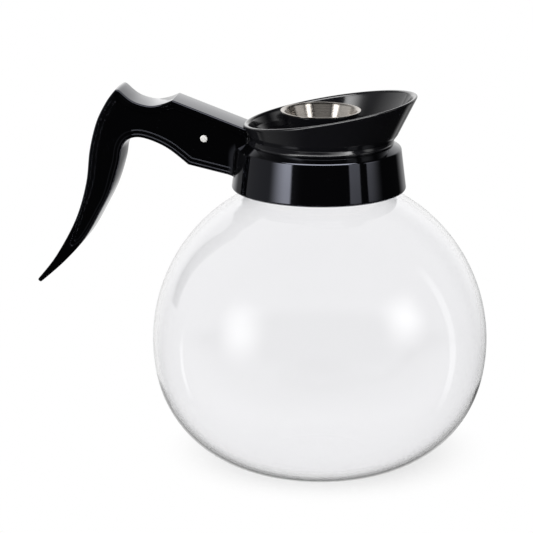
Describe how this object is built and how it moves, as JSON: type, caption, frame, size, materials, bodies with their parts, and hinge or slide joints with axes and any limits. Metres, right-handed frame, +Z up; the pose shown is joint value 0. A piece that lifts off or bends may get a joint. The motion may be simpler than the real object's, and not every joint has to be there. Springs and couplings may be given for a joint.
{
  "type": "coffee carafe",
  "caption": "Glass coffee carafe with a round globe, a black collar and flared pouring spout, a steel-lined brew funnel that lifts out, and a pistol-grip handle.",
  "frame": {"origin": "middle of the flat under the globe, where the carafe stands", "axes": "+Z up along the globe's axis, +X the way the spout pours, the handle stands out towards -X"},
  "size_m": [0.2227, 0.165, 0.1876],
  "materials": {
    "clear_glass": "fire-polished blown borosilicate",
    "gloss_black": "polished moulding",
    "satin_black": "satin moulding",
    "brushed_steel": "spun and brushed stainless",
    "white_nylon": "turned nylon rod",
    "silicone": "matt moulded silicone"
  },
  "bodies": {
    "carafe": {"glass_globe": "clear_glass", "neck_cushion": "silicone", "clamp_band": "brushed_steel", "rim_gasket": "silicone", "collar": "gloss_black", "pour_spout": "satin_black", "handle": "gloss_black", "handle_pin": "white_nylon"},
    "funnel": {"funnel_cup": "satin_black", "funnel_liner": "brushed_steel"}
  },
  "joints": [
    {"name": "funnel_lift", "type": "slide", "parent": "carafe", "child": "funnel", "axis": [0, 0, 1], "range_m": [0, 0.035]}
  ]
}
